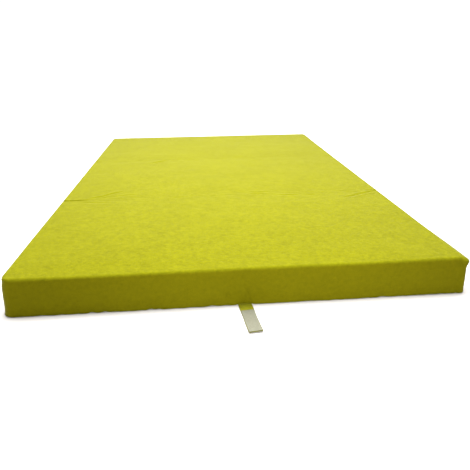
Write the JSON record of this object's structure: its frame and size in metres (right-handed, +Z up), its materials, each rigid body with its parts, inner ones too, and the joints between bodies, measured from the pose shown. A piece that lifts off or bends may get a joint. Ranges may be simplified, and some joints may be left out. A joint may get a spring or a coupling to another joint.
{
  "type": "spa cover",
  "caption": "Folding fabric spa cover: rectangular foam panels joined by top hinge strips, with zips, drain grommets and a hook-and-loop strap at each end.",
  "frame": {"origin": "middle of the underside, straps included", "axes": "+X across the cover, +Y from the front panel to the rear panel, +Z up"},
  "size_m": [1.25, 2.2278, 0.109],
  "materials": {
    "lime_fabric": "soft short-pile velour",
    "base_fabric": "plain woven base cloth",
    "foam": "expanded foam block",
    "vapour_barrier": "thin polyethylene film",
    "galvanised_steel": "galvanised",
    "zip_tape": "woven tape",
    "zip_coil": "nylon coil",
    "slider_metal": "dull plated",
    "eyelet": "moulded",
    "hook_tape": "hook-and-loop pile"
  },
  "bodies": {
    "root": {"middle_foam_core": "foam", "middle_vapour_wrap": "vapour_barrier", "middle_upper_skin": "lime_fabric", "middle_bottom_sheet": "base_fabric", "middle_zip_tape": "zip_tape", "middle_zip_chain": "zip_coil", "middle_drain_grommet_left": "eyelet", "middle_drain_grommet_right": "eyelet", "middle_front_edge_channel": "galvanised_steel", "middle_rear_edge_channel": "galvanised_steel", "front_hinge_strip": "lime_fabric", "rear_hinge_strip": "lime_fabric"},
    "front_panel": {"front_foam_core": "foam", "front_vapour_wrap": "vapour_barrier", "front_upper_skin": "lime_fabric", "front_bottom_sheet": "base_fabric", "front_zip_tape": "zip_tape", "front_zip_chain": "zip_coil", "front_drain_grommet_left": "eyelet", "front_drain_grommet_right": "eyelet", "front_edge_channel": "galvanised_steel"},
    "rear_panel": {"rear_foam_core": "foam", "rear_vapour_wrap": "vapour_barrier", "rear_upper_skin": "lime_fabric", "rear_bottom_sheet": "base_fabric", "rear_zip_tape": "zip_tape", "rear_zip_chain": "zip_coil", "rear_drain_grommet_left": "eyelet", "rear_drain_grommet_right": "eyelet", "rear_edge_channel": "galvanised_steel"},
    "front_strap": {"front_strap_webbing": "lime_fabric", "front_strap_hook_tape": "hook_tape"},
    "rear_strap": {"rear_strap_webbing": "lime_fabric", "rear_strap_loop_tape": "hook_tape"},
    "front_zip_slider": {"front_zip_slider": "slider_metal"},
    "middle_zip_slider": {"middle_zip_slider": "slider_metal"},
    "rear_zip_slider": {"rear_zip_slider": "slider_metal"}
  },
  "joints": [
    {"name": "front_fold", "type": "hinge", "parent": "root", "child": "front_panel", "pos_m": [0, -0.325, 0.112], "axis": [1, 0, 0], "range_deg": [-179.5, 0], "deforming": ["front_hinge_strip"]},
    {"name": "rear_fold", "type": "hinge", "parent": "root", "child": "rear_panel", "pos_m": [0, 0.325, 0.112], "axis": [1, 0, 0], "range_deg": [0, 179.5], "deforming": ["rear_hinge_strip"]},
    {"name": "front_strap_flex", "type": "hinge", "parent": "front_panel", "child": "front_strap", "pos_m": [0.0075, -0.978, 0.0016], "axis": [-1, 0, 0], "range_deg": [0, 90]},
    {"name": "rear_strap_flex", "type": "hinge", "parent": "rear_panel", "child": "rear_strap", "pos_m": [-0.0075, 0.978, 0.0016], "axis": [-1, 0, 0], "range_deg": [-90, 0]},
    {"name": "front_zip_slide", "type": "slide", "parent": "front_panel", "child": "front_zip_slider", "axis": [1, 0, 0], "range_m": [0, 1.06]},
    {"name": "middle_zip_slide", "type": "slide", "parent": "root", "child": "middle_zip_slider", "axis": [1, 0, 0], "range_m": [0, 1.06]},
    {"name": "rear_zip_slide", "type": "slide", "parent": "rear_panel", "child": "rear_zip_slider", "axis": [1, 0, 0], "range_m": [0, 1.06]}
  ]
}
